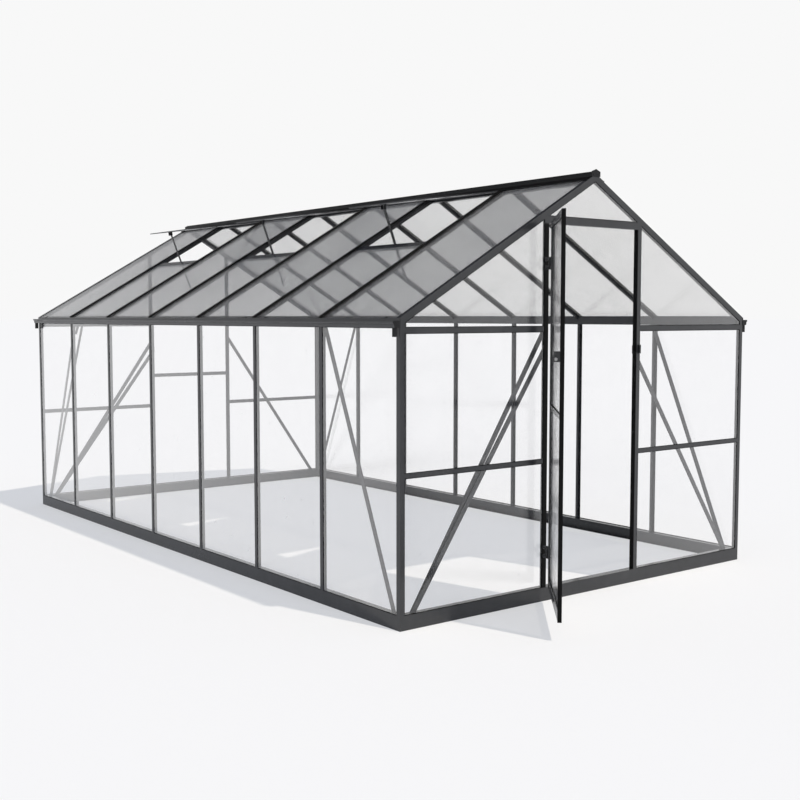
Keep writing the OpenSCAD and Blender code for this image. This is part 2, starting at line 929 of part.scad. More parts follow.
// Hinge leaves: an angle on the edge of the door, rolled into one middle knuckle.
module door_hinge_leaves() {
    middle = hinge_l / 3 - 1;
    leaf_y = knuckle_r - 1 - leaf_t;
    color(frame_col)
        on_door()
            for (z = hinge_zs)
                translate([pin_x, pin_y, z - hinge_l / 2])
                    difference() {
                        linear_extrude(hinge_l)
                            difference() {
                                union() {
                                    circle(r = knuckle_r);
                                    translate([0, leaf_y])
                                        square([hinge_side_gap, leaf_t]);
                                    translate([hinge_side_gap - leaf_t, leaf_y])
                                        square([leaf_t, leaf_t + door_t]);
                                }
                                circle(r = pin_r + pin_gap);
                            }
                        for (end_z = [-1, (hinge_l + middle) / 2])
                            translate([-2 * knuckle_r, -2 * knuckle_r, end_z])
                                cube([2 * knuckle_r + hinge_side_gap - leaf_t, 4 * knuckle_r,
                                      (hinge_l - middle) / 2 + 1]);
                    }
}

// Hinge brackets on the jamb: an ear out from its face, two knuckles and the pin.
module jamb_hinges()
    color(frame_col)
        for (z = hinge_zs)
            translate([pin_x, pin_y, z]) {
                cylinder(h = hinge_l, r = pin_r, center = true);
                for (end = [-1, 1])
                    translate([0, 0, end * hinge_l / 3]) {
                        cylinder(h = hinge_l / 3, r = knuckle_r, center = true);
                        translate([-ear_t / 2, 0, -hinge_l / 6])
                            cube([ear_t, -pin_y, hinge_l / 3]);
                    }
            }

// Tab that stands out from the door's outer face, with a hole low near its edge.
module door_latch() {
    hole_in = 9;
    hole_drop = 11;
    color(frame_col)
        on_door()
            translate([door_x0 + door_w - tab_t, -door_gap - door_t - tab_out, latch_z])
                difference() {
                    translate([0, 0, -tab_h / 2])
                        cube([tab_t, tab_out, tab_h]);
                    translate([-1, hole_in, -hole_drop])
                        rotate([0, 90, 0])
                            cylinder(h = tab_t + 2, r = tab_hole_r);
                }
}

// Stepped block on the free jamb's face, and a round knob on the jamb's side.
module latch_keeper() {
    keeper_x = door_opening_w / 2 + door_lap + 6.5;
    keeper_w = door_opening_w / 2 + jamb_w - keeper_x;
    step = keeper_out * 0.55;
    knob_r = 4.5;
    knob_l = 7;
    color(frame_col) {
        translate([keeper_x, -step, latch_z - tab_h / 2])
            cube([keeper_w, step, tab_h]);
        translate([keeper_x, -keeper_out, latch_z - tab_h / 3])
            cube([keeper_w / 2, keeper_out, tab_h * 2 / 3]);
        translate([door_opening_w / 2 - knob_l, bar_d - 6, latch_z - 13])
            rotate([0, 90, 0])
                cylinder(h = knob_l, r = knob_r);
    }
}

base_front();
base_rear();
base_side(-1);  // base_left
base_side(1);  // base_right
corner_posts();
wall_studs(-1);  // wall_studs_left
wall_studs(1);  // wall_studs_right
eaves_beam(-1);  // eaves_beam_left
eaves_beam(1);  // eaves_beam_right
gutter(-1);  // gutter_left
gutter(1);  // gutter_right
gutter_ends();
gable_uprights(false);  // door_jambs
door_header();
gable_uprights(true);  // rear_gable_studs
gable_ties(false);  // gable_ties_front
gable_ties(true);  // gable_ties_rear
gable_rails_front();
gable_rails_rear();
raking_bars(false);  // raking_bars_front
raking_bars(true);  // raking_bars_rear
ridge_beam();
ridge_cap();
ridge_end_caps();
rafters(-1);  // rafters_left
rafters(1);  // rafters_right
vent_sills();
vent_frames();
vent_panels();
vent_stays();
wall_braces();
gable_braces();
wall_panes(-1);  // wall_panes_left
wall_panes(1);  // wall_panes_right
gable_panes_front();
gable_panes_rear();
roof_sheets(-1);  // roof_sheets_left
roof_sheets(1);  // roof_sheets_right
jamb_hinges();
latch_keeper();
door_stiles();
door_rails();
door_panes();
door_hinge_leaves();
door_latch();
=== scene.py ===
"""Looks of a ridge greenhouse with a powder-coated frame, clear walls and a twin-wall roof.

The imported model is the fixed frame. This script dresses its nodes, builds the hollow roof
sheets, the seals and the small fasteners around them, and sets the floor, light and camera.
"""

import logging
import math
from dataclasses import dataclass
from enum import Enum
from typing import Callable, Iterable, Sequence

import bpy
from mathutils import Matrix, Vector


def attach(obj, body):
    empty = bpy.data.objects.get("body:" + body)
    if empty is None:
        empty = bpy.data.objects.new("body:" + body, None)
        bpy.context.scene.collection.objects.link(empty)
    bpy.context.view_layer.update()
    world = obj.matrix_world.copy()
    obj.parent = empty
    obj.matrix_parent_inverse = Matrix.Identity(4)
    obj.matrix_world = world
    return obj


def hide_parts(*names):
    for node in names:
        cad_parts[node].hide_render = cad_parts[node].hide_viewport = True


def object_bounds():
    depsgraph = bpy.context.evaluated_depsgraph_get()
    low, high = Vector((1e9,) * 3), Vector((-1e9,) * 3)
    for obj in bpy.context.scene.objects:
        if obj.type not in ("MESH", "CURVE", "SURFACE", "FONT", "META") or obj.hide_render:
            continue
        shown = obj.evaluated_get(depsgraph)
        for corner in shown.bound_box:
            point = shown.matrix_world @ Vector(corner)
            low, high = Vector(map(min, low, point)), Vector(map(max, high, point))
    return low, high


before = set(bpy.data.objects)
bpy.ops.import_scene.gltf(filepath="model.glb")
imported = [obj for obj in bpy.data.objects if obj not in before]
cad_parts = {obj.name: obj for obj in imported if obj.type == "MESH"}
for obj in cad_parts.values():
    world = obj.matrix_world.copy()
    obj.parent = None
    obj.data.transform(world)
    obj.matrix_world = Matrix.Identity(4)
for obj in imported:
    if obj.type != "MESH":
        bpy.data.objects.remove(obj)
CAD_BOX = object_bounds()

log = logging.getLogger("greenhouse")

MM = 0.001
HOUSE = "house"
DOOR = "door"

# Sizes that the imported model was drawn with, in millimetres. A pair is a bar's two edges.
HALF_WIDTH = 1227.5
LENGTH = 4340.0
BAY = 620.0
BAYS = 7
PITCH = math.radians(30.0)
BASE_TOP = 68.0
EAVES = 1345.0
EAVES_TOP = 1388.0  # the roof's surface over a wall's face
APEX = EAVES_TOP + HALF_WIDTH * math.tan(PITCH)
BAR = 24.0
BAR_DEPTH = 26.0
FLANGE = 2.5
POST = 25.0
BRACE = 5.0
UPRIGHT = (325.0, 350.0)
HEADER = (1838.3, 1875.3)
TIE = (1320.0, 1346.0)
RAIL = 21.0
GABLE_RAIL = 692.0
REAR_RAIL = 930.0
RAKE_DEPTH = 31.0

# The door as if shut: half its width, its faces, its ends and its two openings.
DOOR_HALF = 329.0
DOOR_Y = (-25.0, -8.0)
DOOR_Z = (85.0, 1844.0)
DOOR_STILE = 30.0
DOOR_PANES = ((130.0, 955.0), (975.0, 1814.3))
HINGE_PIN = (-347.0, -30.0, 0.0)
HINGE_HEIGHTS = (250.0, 1647.3)
DOOR_OPEN = math.radians(131.5)

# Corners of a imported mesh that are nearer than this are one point.
WELD = 0.02 * MM

UP = Vector((0.0, 0.0, 1.0))
ALONG = Vector((0.0, 1.0, 0.0))

# Turns for sections, which lie in X and Y and are drawn out along Z.
STOOD_UP = Matrix(((1, 0, 0, 0), (0, 0, -1, 0), (0, 1, 0, 0), (0, 0, 0, 1)))
UP_SLOPE = Matrix(((0, 0, 1, 0), (1, 0, 0, 0), (0, 1, 0, 0), (0, 0, 0, 1)))

# Steps of a washer, nut and bolt's end: corners, and radius, foot and top over the nut's width.
BOLT_STEPS = ((16, 0.72, 0.0, 0.12), (6, 0.577, 0.12, 0.6), (10, 0.3, 0.6, 0.85))

# Rings of a pan head with a round recess: radius and height over the head's radius.
SCREW_RINGS = ((1.0, 0.0), (1.0, 0.3), (0.85, 0.52), (0.42, 0.62), (0.3, 0.4))
SCREW_CORNERS = 16


class Side(Enum):
    """The two long sides of the house, by the sign of their X."""

    LEFT = -1
    RIGHT = 1

    @property
    def word(self) -> str:
        """The side's name as node names spell it."""
        return self.name.lower()


class Slot(Enum):
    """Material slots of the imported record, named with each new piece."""

    FITTINGS = "dark_fittings"
    MOULDING = "black_moulding"
    TWIN_WALL = "twin_wall_polycarbonate"


# ---------- Colour and shader nodes ----------


def linear(hex_colour: str) -> tuple[float, float, float, float]:
    """Turns an sRGB hex colour into a linear one.

    Args:
        hex_colour: Six hex digits with a leading hash, such as "#26282b".

    Returns:
        Linear red, green and blue, and an alpha of 1.
    """
    channels = []
    for start in (1, 3, 5):
        value = int(hex_colour[start:start + 2], 16) / 255
        channels.append(value / 12.92 if value <= 0.04045 else ((value + 0.055) / 1.055) ** 2.4)
    return (*channels, 1.0)


def add_node(tree: bpy.types.NodeTree, kind: str,
             sockets: dict[str | int, object] | None = None,
             **properties: object) -> bpy.types.Node:
    """Adds a node, sets its properties, and sets or links its input sockets.

    Args:
        tree: The node tree that gets the node.
        kind: Blender's type name of the node, without the leading "ShaderNode".
        sockets: Input names or numbers, each with a value or with an output socket to link.
        properties: Settings of the node itself, such as operation or blend_type.

    Returns:
        The new node.
    """
    node = tree.nodes.new("ShaderNode" + kind)
    for name, value in properties.items():
        setattr(node, name, value)
    for name, value in (sockets or {}).items():
        if isinstance(value, bpy.types.NodeSocket):
            tree.links.new(value, node.inputs[name])
        else:
            node.inputs[name].default_value = value
    return node


def blank_material(name: str) -> tuple[bpy.types.Material, bpy.types.NodeTree]:
    """Makes a material with an empty node tree.

    Args:
        name: The material's name.

    Returns:
        The material and its node tree.
    """
    material = bpy.data.materials.new(name)
    material.use_nodes = True
    material.node_tree.nodes.clear()
    return material, material.node_tree


def per_metre(size_mm: float) -> float:
    """Texture scale at which one feature of a noise pattern is about size_mm across."""
    return 1000.0 / size_mm


# ---------- Finishes ----------


@dataclass(frozen=True)
class PowderCoat:
    """Polyester powder coat on aluminium or steel, sprayed dry and fused in an oven.

    The fused film has a fine orange peel that breaks up its satin highlights, and it thins
    and chalks a little in broad patches, so long bars aren't one flat tone.
    """

    name: str
    colour: str
    chalked: str  # the tone where the coat has thinned
    roughness: float = 0.2
    gloss: float = 0.45
    patch_mm: float = 160.0
    peel_mm: float = 1.6
    peel_height: float = 0.012 * MM

    def build(self) -> bpy.types.Material:
        """Returns the finish as a material."""
        material, tree = blank_material(self.name)
        place = add_node(tree, "TexCoord").outputs["Object"]
        patches = add_node(tree, "TexNoise", {
            "Vector": place, "Scale": per_metre(self.patch_mm), "Detail": 4.0, "Roughness": 0.62})
        peel = add_node(tree, "TexNoise", {
            "Vector": place, "Scale": per_metre(self.peel_mm), "Detail": 2.0, "Roughness": 0.5})
        tone = add_node(tree, "ValToRGB", {"Fac": patches.outputs["Fac"]})
        tone.color_ramp.elements[0].position = 0.35
        tone.color_ramp.elements[0].color = linear(self.colour)
        tone.color_ramp.elements[1].position = 0.78
        tone.color_ramp.elements[1].color = linear(self.chalked)
        sheen = add_node(tree, "MapRange", {
            "Value": patches.outputs["Fac"], "From Min": 0.3, "From Max": 0.75,
            "To Min": self.roughness - 0.03, "To Max": self.roughness + 0.06})
        bump = add_node(tree, "Bump", {
            "Height": peel.outputs["Fac"], "Strength": 0.5, "Distance": self.peel_height})
        coat = add_node(tree, "BsdfPrincipled", {
            "Base Color": tone.outputs["Color"], "Roughness": sheen.outputs["Result"],
            "Normal": bump.outputs["Normal"], "IOR": 1.5, "Specular IOR Level": self.gloss})
        add_node(tree, "OutputMaterial", {"Surface": coat.outputs["BSDF"]})
        return material


@dataclass(frozen=True)
class BlackPolymer:
    """Polymer filled with carbon black, moulded or extruded.

    It is glass-filled nylon from a spark-eroded mould, or PVC or rubber pushed through a
    die. Each is matt and near black, with a fine even grain that spreads its highlights.
    """

    name: str
    colour: str
    roughness: float = 0.58
    gloss: float = 0.3
    flow_mm: float = 40.0
    grain_mm: float = 0.7
    grain_height: float = 0.03 * MM

    def build(self) -> bpy.types.Material:
        """Returns the finish as a material."""
        material, tree = blank_material(self.name)
        place = add_node(tree, "TexCoord").outputs["Object"]
        grain = add_node(tree, "TexNoise", {
            "Vector": place, "Scale": per_metre(self.grain_mm), "Detail": 3.0})
        flow = add_node(tree, "TexNoise", {
            "Vector": place, "Scale": per_metre(self.flow_mm), "Detail": 2.0})
        base = Vector(linear(self.colour)[:3])
        tone = add_node(tree, "Mix", {
            0: flow.outputs["Fac"], 6: (*(base * 0.82), 1.0), 7: (*(base * 1.2), 1.0)},
            data_type="RGBA")
        bump = add_node(tree, "Bump", {
            "Height": grain.outputs["Fac"], "Strength": 0.6, "Distance": self.grain_height})
        rough = add_node(tree, "MapRange", {
            "Value": grain.outputs["Fac"], "To Min": self.roughness - 0.06,
            "To Max": self.roughness + 0.06})
        body = add_node(tree, "BsdfPrincipled", {
            "Base Color": tone.outputs[2], "Roughness": rough.outputs["Result"],
            "Normal": bump.outputs["Normal"], "IOR": 1.53, "Specular IOR Level": self.gloss})
        add_node(tree, "OutputMaterial", {"Surface": body.outputs["BSDF"]})
        return material


@dataclass(frozen=True)
class ClearPolycarbonate:
    """Solid polycarbonate sheet, extruded and polished between rollers.

    It mirrors more as it is seen more aslant, which lays a white veil over what stands
    behind it. Handling and dust leave a faint haze, which blurs what it mirrors.
    """

    name: str
    tint: str  # of what is seen through one face
    haze: str
    shade: str  # what one face lets through for a shadow
    facing_mirror: float = 0.01  # share mirrored when seen square on
    edge_mirror: float = 0.95
    slant_power: float = 1.85  # how late that share rises
    haze_share: float = 0.004
    haze_mm: float = 90.0
    blur: float = 0.2

    def build(self) -> bpy.types.Material:
        """Returns the finish as a material."""
        material, tree = blank_material(self.name)
        place = add_node(tree, "TexCoord").outputs["Object"]
        smears = add_node(tree, "TexNoise", {
            "Vector": place, "Scale": per_metre(self.haze_mm), "Detail": 6.0, "Roughness": 0.7})
        film = add_node(tree, "MapRange", {
            "Value": smears.outputs["Fac"], "From Min": 0.4, "From Max": 0.8,
            "To Min": 0.5 * self.haze_share, "To Max": 2.0 * self.haze_share})
        blur = add_node(tree, "MapRange", {
            "Value": smears.outputs["Fac"], "From Min": 0.3, "From Max": 0.7,
            "To Min": 0.6 * self.blur, "To Max": 1.4 * self.blur})
        clear = add_node(tree, "BsdfTransparent", {"Color": linear(self.tint)})
        dust = add_node(tree, "BsdfDiffuse", {"Color": linear(self.haze)})
        sheet = add_node(tree, "MixShader", {
            0: film.outputs["Result"], 1: clear.outputs["BSDF"], 2: dust.outputs["BSDF"]})
        gloss = add_node(tree, "BsdfGlossy", {
            "Color": linear("#ffffff"), "Roughness": blur.outputs["Result"]})
        mirror = slant_mirror(tree, self.facing_mirror, self.edge_mirror, self.slant_power)
        seen = add_node(tree, "MixShader", {
            0: mirror, 1: sheet.outputs["Shader"], 2: gloss.outputs["BSDF"]})
        surface = shaded_for_lamps(tree, seen.outputs["Shader"], self.shade)
        add_node(tree, "OutputMaterial", {"Surface": surface})
        return material


def slant_mirror(tree: bpy.types.NodeTree, facing: float, edge: float,
                 power: float) -> bpy.types.NodeSocket:
    """Share of mirrored light after Schlick, for a thin sheet.

    The face that light meets first mirrors for both faces, so none is caught between them.

    Args:
        tree: The material's node tree.
        facing: The share mirrored when the sheet is seen square on.
        edge: The share mirrored when the sheet is seen edge on.
        power: How late the share rises as the sheet is seen more aslant.

    Returns:
        The socket that holds the share.
    """
    slant = add_node(tree, "LayerWeight", {"Blend": 0.5}).outputs["Facing"]
    risen = add_node(tree, "Math", {0: slant, 1: power}, operation="POWER")
    share = add_node(tree, "Math", {0: risen.outputs[0], 1: edge - facing, 2: facing},
                     operation="MULTIPLY_ADD", use_clamp=True)
    first = add_node(tree, "Math", {
        0: 1.0, 1: add_node(tree, "NewGeometry").outputs["Backfacing"]}, operation="SUBTRACT")
    return add_node(tree, "Math", {0: share.outputs[0], 1: first.outputs[0]},
                    operation="MULTIPLY").outputs[0]


def shaded_for_lamps(tree: bpy.types.NodeTree, seen: bpy.types.NodeSocket,
                     shade: str) -> bpy.types.NodeSocket:
    """Lets lamps through a sheet only in part, so that the glazing casts a soft shadow.

    Args:
        tree: The material's node tree.
        seen: The shader that every other ray sees.
        shade: What one face of the sheet lets through for a shadow ray.

    Returns:
        The shader socket for the material's output.
    """
    dark = add_node(tree, "BsdfTransparent", {"Color": linear(shade)})
    path = add_node(tree, "LightPath")
    return add_node(tree, "MixShader", {
        0: path.outputs["Is Shadow Ray"], 1: seen, 2: dark.outputs["BSDF"]}).outputs["Shader"]


@dataclass(frozen=True)
class TwinWallPolycarbonate:
    """Hollow polycarbonate sheet, extruded as two skins with ribs between them.

    Each skin is thin and clear, but the many faces scatter light, so the sheet reads as a
    pale grey veil. The ribs scatter more than the skins, which gives a lit sheet fine grain.
    """

    name: str
    tint: str  # of what is seen through one face
    scatter: str
    shade: str  # what one face lets through for a shadow
    scatter_share: float = 0.042  # of the light that meets a face
    through_share: float = 0.85  # of the scattered light, that goes on through
    haze_mm: float = 120.0
    facing_mirror: float = 0.02
    slant_power: float = 6.5
    roughness: float = 0.16

    def build(self) -> bpy.types.Material:
        """Returns the finish as a material."""
        material, tree = blank_material(self.name)
        place = add_node(tree, "TexCoord").outputs["Object"]
        haze = add_node(tree, "TexNoise", {
            "Vector": place, "Scale": per_metre(self.haze_mm), "Detail": 5.0, "Roughness": 0.6})
        share = add_node(tree, "MapRange", {
            "Value": haze.outputs["Fac"], "From Min": 0.3, "From Max": 0.7,
            "To Min": 0.94 * self.scatter_share, "To Max": 1.06 * self.scatter_share})
        clear = add_node(tree, "BsdfTransparent", {"Color": linear(self.tint)})
        lit = add_node(tree, "BsdfDiffuse", {"Color": linear(self.scatter)})
        glow = add_node(tree, "BsdfTranslucent", {"Color": linear(self.scatter)})
        milk = add_node(tree, "MixShader", {
            0: self.through_share, 1: lit.outputs["BSDF"], 2: glow.outputs["BSDF"]})
        skin = add_node(tree, "MixShader", {
            0: share.outputs["Result"], 1: clear.outputs["BSDF"], 2: milk.outputs["Shader"]})
        gloss = add_node(tree, "BsdfGlossy", {
            "Color": linear("#ffffff"), "Roughness": self.roughness})
        mirror = slant_mirror(tree, self.facing_mirror, 1.0, self.slant_power)
        seen = add_node(tree, "MixShader", {
            0: mirror, 1: skin.outputs["Shader"], 2: gloss.outputs["BSDF"]})
        surface = shaded_for_lamps(tree, seen.outputs["Shader"], self.shade)
        add_node(tree, "OutputMaterial", {"Surface": surface})
        return material


# ---------- Meshes ----------


def oblong(low: Sequence[float], high: Sequence[float]) -> list[tuple[float, float]]:
    """Corners of a rectangle in X and Y, counterclockwise, from two opposite ones."""
    return [(low[0], low[1]), (high[0], low[1]), (high[0], high[1]), (low[0], high[1])]


def inset(outline: Sequence[tuple[float, float]], by: float) -> list[tuple[float, float]]:
    """Moves the edges of a convex outline inwards.

    Args:
        outline: Its corners, counterclockwise.
        by: How far each edge moves.

    Returns:
        The corners of the smaller outline, in the same order.
    """
    corners = [Vector(c) for c in outline]
    smaller = []
    for i, corner in enumerate(corners):
        back = (corner - corners[i - 1]).normalized()
        on = (corners[(i + 1) % len(corners)] - corner).normalized()
        lean = Vector((-back.y - on.y, back.x + on.x))
        smaller.append(tuple(corner + lean * by / (1.0 + back.dot(on))))
    return smaller


class Workpiece:
    """A mesh under construction, made of closed solids given in their own frames."""

    def __init__(self) -> None:
        """Starts with no geometry."""
        self.points: list[Vector] = []
        self.faces: list[tuple[int, ...]] = []
        self.marks: list[int] = []  # each face's material number, where there are two

    def solid(self, place: Matrix, points: Iterable[Sequence[float]],
              faces: Iterable[Sequence[int]]) -> None:
        """Adds points and faces.

        Args:
            place: Turns the points into the row frame.
            points: The solid's corners in its own frame, in metres.
            faces: Corner numbers of each face, counted within points.
        """
        first = len(self.points)
        self.points += [place @ Vector(p) for p in points]
        self.faces += [tuple(first + i for i in face) for face in faces]

    def prism(self, place: Matrix, outline: Sequence[tuple[float, float]],
              low: float, high: float) -> None:
        """Adds a straight prism.

        Args:
            place: Turns the prism's frame into the row frame.
            outline: Its corners in X and Y, counterclockwise.
            low: Where it starts along Z.
            high: Where it ends along Z.
        """
        n = len(outline)
        points = [(x, y, z) for z in (low, high) for x, y in outline]
        sides = [(i, (i + 1) % n, n + (i + 1) % n, n + i) for i in range(n)]
        self.solid(place, points, [tuple(reversed(range(n))), tuple(range(n, 2 * n)), *sides])

    def box(self, place: Matrix, low: Sequence[float], high: Sequence[float]) -> None:
        """Adds a box between two opposite corners, given in its own frame."""
        self.prism(place, oblong(low, high), low[2], high[2])

    def ring(self, place: Matrix, outline: Sequence[tuple[float, float]], width: float,
             low: float, high: float) -> None:
        """Adds a flat closed strip that runs round the inside of a convex outline.

        Args:
            place: Turns the outline's frame into the row frame.
            outline: Its corners in X and Y, counterclockwise.
            width: The strip's width.
            low: Where it starts along Z.
            high: Where it ends along Z.
        """
        n = len(outline)
        rings = [(outline, low), (outline, high), (inset(outline, width), high),
                 (inset(outline, width), low)]
        points = [(x, y, z) for corners, z in rings for x, y in corners]
        faces = [(a * n + i, a * n + (i + 1) % n, b * n + (i + 1) % n, b * n + i)
                 for a, b in ((0, 1), (1, 2), (2, 3), (3, 0)) for i in range(n)]
        self.solid(place, points, faces)

    def bolt(self, place: Matrix, across: float = 8.0) -> None:
        """Adds a washer, a hexagon nut and a bolt's end, standing on the XY plane.

        Args:
            place: Turns the bolt's frame into the row frame; its Z points along the bolt.
            across: Width of the nut across its flats.
        """
        for corners, radius, low, high in BOLT_STEPS:
            circle = [(radius * across * math.cos(math.tau * k / corners),
                       radius * across * math.sin(math.tau * k / corners))
                      for k in range(corners)]
            self.prism(place, circle, low * across, high * across)

    def screw(self, place: Matrix, radius: float = 3.5) -> None:
        """Adds a screw's pan head with a round recess, standing on the XY plane.

        Args:
            place: Turns the screw's frame into the row frame; its Z points out.
            radius: The head's radius.
        """
        n, top = SCREW_CORNERS, len(SCREW_RINGS) - 1
        points = [(radius * r * math.cos(math.tau * k / n), radius * r * math.sin(math.tau * k / n),
                   radius * z) for r, z in SCREW_RINGS for k in range(n)]
        faces = [(a * n + i, a * n + (i + 1) % n, (a + 1) * n + (i + 1) % n, (a + 1) * n + i)
                 for a in range(top) for i in range(n)]
        faces += [tuple(reversed(range(n))), tuple(range(top * n, (top + 1) * n))]
        self.solid(place, points, faces)

    def finish(self, name: str, material: bpy.types.Material, body: str,
               slot: Slot) -> bpy.types.Object:
        """Turns the work into an object that rides on a body.

        Args:
            name: The piece's name.
            material: Its finish.
            body: The body that it moves with.
            slot: Not used.

        Returns:
            The object.
        """
        mesh = bpy.data.meshes.new(name)
        mesh.from_pydata(self.points, [], self.faces)
        mesh.materials.append(material)
        piece = bpy.data.objects.new(name, mesh)
        bpy.context.scene.collection.objects.link(piece)
        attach(piece, body)
        log.info("%s: %d faces on %s", name, len(self.faces), body)
        return piece


@dataclass(frozen=True)
class Slab:
    """One flat sheet of a CAD node, in a frame with X along its slope, Y back and Z out."""

    place: Matrix  # turns that frame into the row frame
    low: Vector  # its lowest corner in that frame
    high: Vector  # and its highest


def loose_parts(node: str) -> list[list[int]]:
    """Splits a CAD node's mesh into the faces of its separate solids.

    Args:
        node: The node's name.

    Returns:
        For each solid, the numbers of its faces.
    """
    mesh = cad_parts[node].data
    merged: dict[tuple[int, int, int], int] = {}
    corner = [merged.setdefault(tuple(round(c / WELD) for c in v.co), i)
              for i, v in enumerate(mesh.vertices)]
    owner = list(range(len(mesh.vertices)))

    def root(i: int) -> int:
        """The vertex that stands for everything joined to i."""
        while owner[i] != i:
            owner[i] = owner[owner[i]]
            i = owner[i]
        return i

    for face in mesh.polygons:
        first = root(corner[face.vertices[0]])
        for v in face.vertices[1:]:
            owner[root(corner[v])] = first
    parts: dict[int, list[int]] = {}
    for face in mesh.polygons:
        parts.setdefault(root(corner[face.vertices[0]]), []).append(face.index)
    return list(parts.values())


def slabs_of(node: str) -> list[Slab]:
    """Finds the flat sheets of a CAD node whose sheets all run along Y.

    Args:
        node: The node's name.

    Returns:
        The sheets, from front to back.
    """
    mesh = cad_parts[node].data
    found = []
    for part in loose_parts(node):
        broad = max((mesh.polygons[f] for f in part), key=lambda face: face.area)
        out = broad.normal if broad.normal.z > 0 else -broad.normal
        turn = Matrix((ALONG.cross(out).normalized(), ALONG, out)).transposed()
        points = [turn.transposed() @ mesh.vertices[v].co
                  for f in part for v in mesh.polygons[f].vertices]
        low = Vector(min(p[i] for p in points) for i in range(3))
        high = Vector(max(p[i] for p in points) for i in range(3))
        found.append(Slab(turn.to_4x4(), low, high))
    return sorted(found, key=lambda slab: slab.low.y)


def dress(material: bpy.types.Material, *nodes: str) -> None:
    """Gives CAD nodes a finish.

    Args:
        material: The finish.
        nodes: The nodes' names.
    """
    for name in nodes:
        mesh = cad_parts[name].data
        mesh.materials.clear()
        mesh.materials.append(material)
        log.info("%s: %s", name, material.name)


# ---------- Places on the house ----------


def placed(x: Vector, y: Vector, z: Vector, corner: Vector) -> Matrix:
    """Frame with these axes and this corner in the row frame, in millimetres."""
    turn = Matrix((x, y, z)).transposed().to_4x4()
    return Matrix.Translation(corner * MM) @ turn @ Matrix.Scale(MM, 4)


def on_slope(side: Side) -> Matrix:
    """Frame of a roof slope from its eaves: X up it, Y along it, Z out, in millimetres.

    Args:
        side: The side of the house.

    Returns:
        The matrix that turns the slope's frame into the row frame.
    """
    up = Vector((-side.value * math.cos(PITCH), 0.0, math.sin(PITCH)))
    out = Vector((side.value * math.sin(PITCH), 0.0, math.cos(PITCH)))
    return placed(up, out.cross(up), out, Vector((side.value * HALF_WIDTH, 0.0, EAVES_TOP)))


def in_side_wall(side: Side) -> Matrix:
    """Frame of a side wall: X along it, Y up, Z outwards from its face, in millimetres."""
    out = Vector((side.value, 0.0, 0.0))
    return placed(UP.cross(out), UP, out, out * HALF_WIDTH)


def in_gable(rear: bool) -> Matrix:
    """Frame of a gable: X across it, Y up, Z outwards from its face, in millimetres."""
    out = Vector((0.0, 1.0 if rear else -1.0, 0.0))
    return placed(UP.cross(out), UP, out, ALONG * (LENGTH if rear else 0.0))


def on_door() -> Matrix:
    """Frame of the door as if shut, in the house's directions, in millimetres."""
    pin = Vector(HINGE_PIN) * MM
    turn = Matrix.Rotation(-DOOR_OPEN, 4, "Z")
    return Matrix.Translation(pin) @ turn @ Matrix.Translation(-pin) @ Matrix.Scale(MM, 4)


def under_rake(x: float) -> float:
    """Height of the underside of the raking bars at a distance from the middle."""
    return APEX - abs(x) * math.tan(PITCH) - RAKE_DEPTH / math.cos(PITCH)


# ---------- Sub-assemblies ----------


@dataclass
class BarFrame:
    """The bars that carry the house: base, posts, studs, eaves, gables, roof and braces."""

    finish: bpy.types.Material
    shaded_cap_finish: bpy.types.Material  # duller, to mirror less of the sky; darker as painted shade

    def build(self) -> None:
        """Dresses the frame's nodes."""
        # The ridge cap wears a darker, duller copy of the coat: its dark colour is painted shade.
        dress(self.shaded_cap_finish, "ridge_cap")
        dress(self.finish, "base_front", "base_rear", "corner_posts", "door_jambs", "door_header",
              "rear_gable_studs", "gable_ties_front", "gable_ties_rear", "gable_rails_front",
              "gable_rails_rear", "raking_bars_front", "raking_bars_rear", "ridge_beam",
              "vent_sills", "vent_frames", "wall_braces", "gable_braces", "door_stiles",
              "door_rails")
        for stem in ("base_", "wall_studs_", "eaves_beam_", "gutter_", "rafters_"):
            dress(self.finish, *(stem + side.word for side in Side))


@dataclass
class Hardware:
    """The steel hinges, stays and latch, and the moulded ends of the gutters and the ridge."""

    steel: bpy.types.Material
    nylon: bpy.types.Material

    def build(self) -> None:
        """Dresses the hardware's nodes."""
        dress(self.steel, "vent_stays", "jamb_hinges", "door_hinge_leaves", "latch_keeper",
              "door_latch")
        dress(self.nylon, "gutter_ends", "ridge_end_caps")


@dataclass
class ClearSheets:
    """The clear sheets of the walls, the gables and the door."""

    finish: bpy.types.Material

    def build(self) -> None:
        """Dresses the sheets' nodes."""
        dress(self.finish, "wall_panes_left", "wall_panes_right", "gable_panes_front",
              "gable_panes_rear", "door_panes")


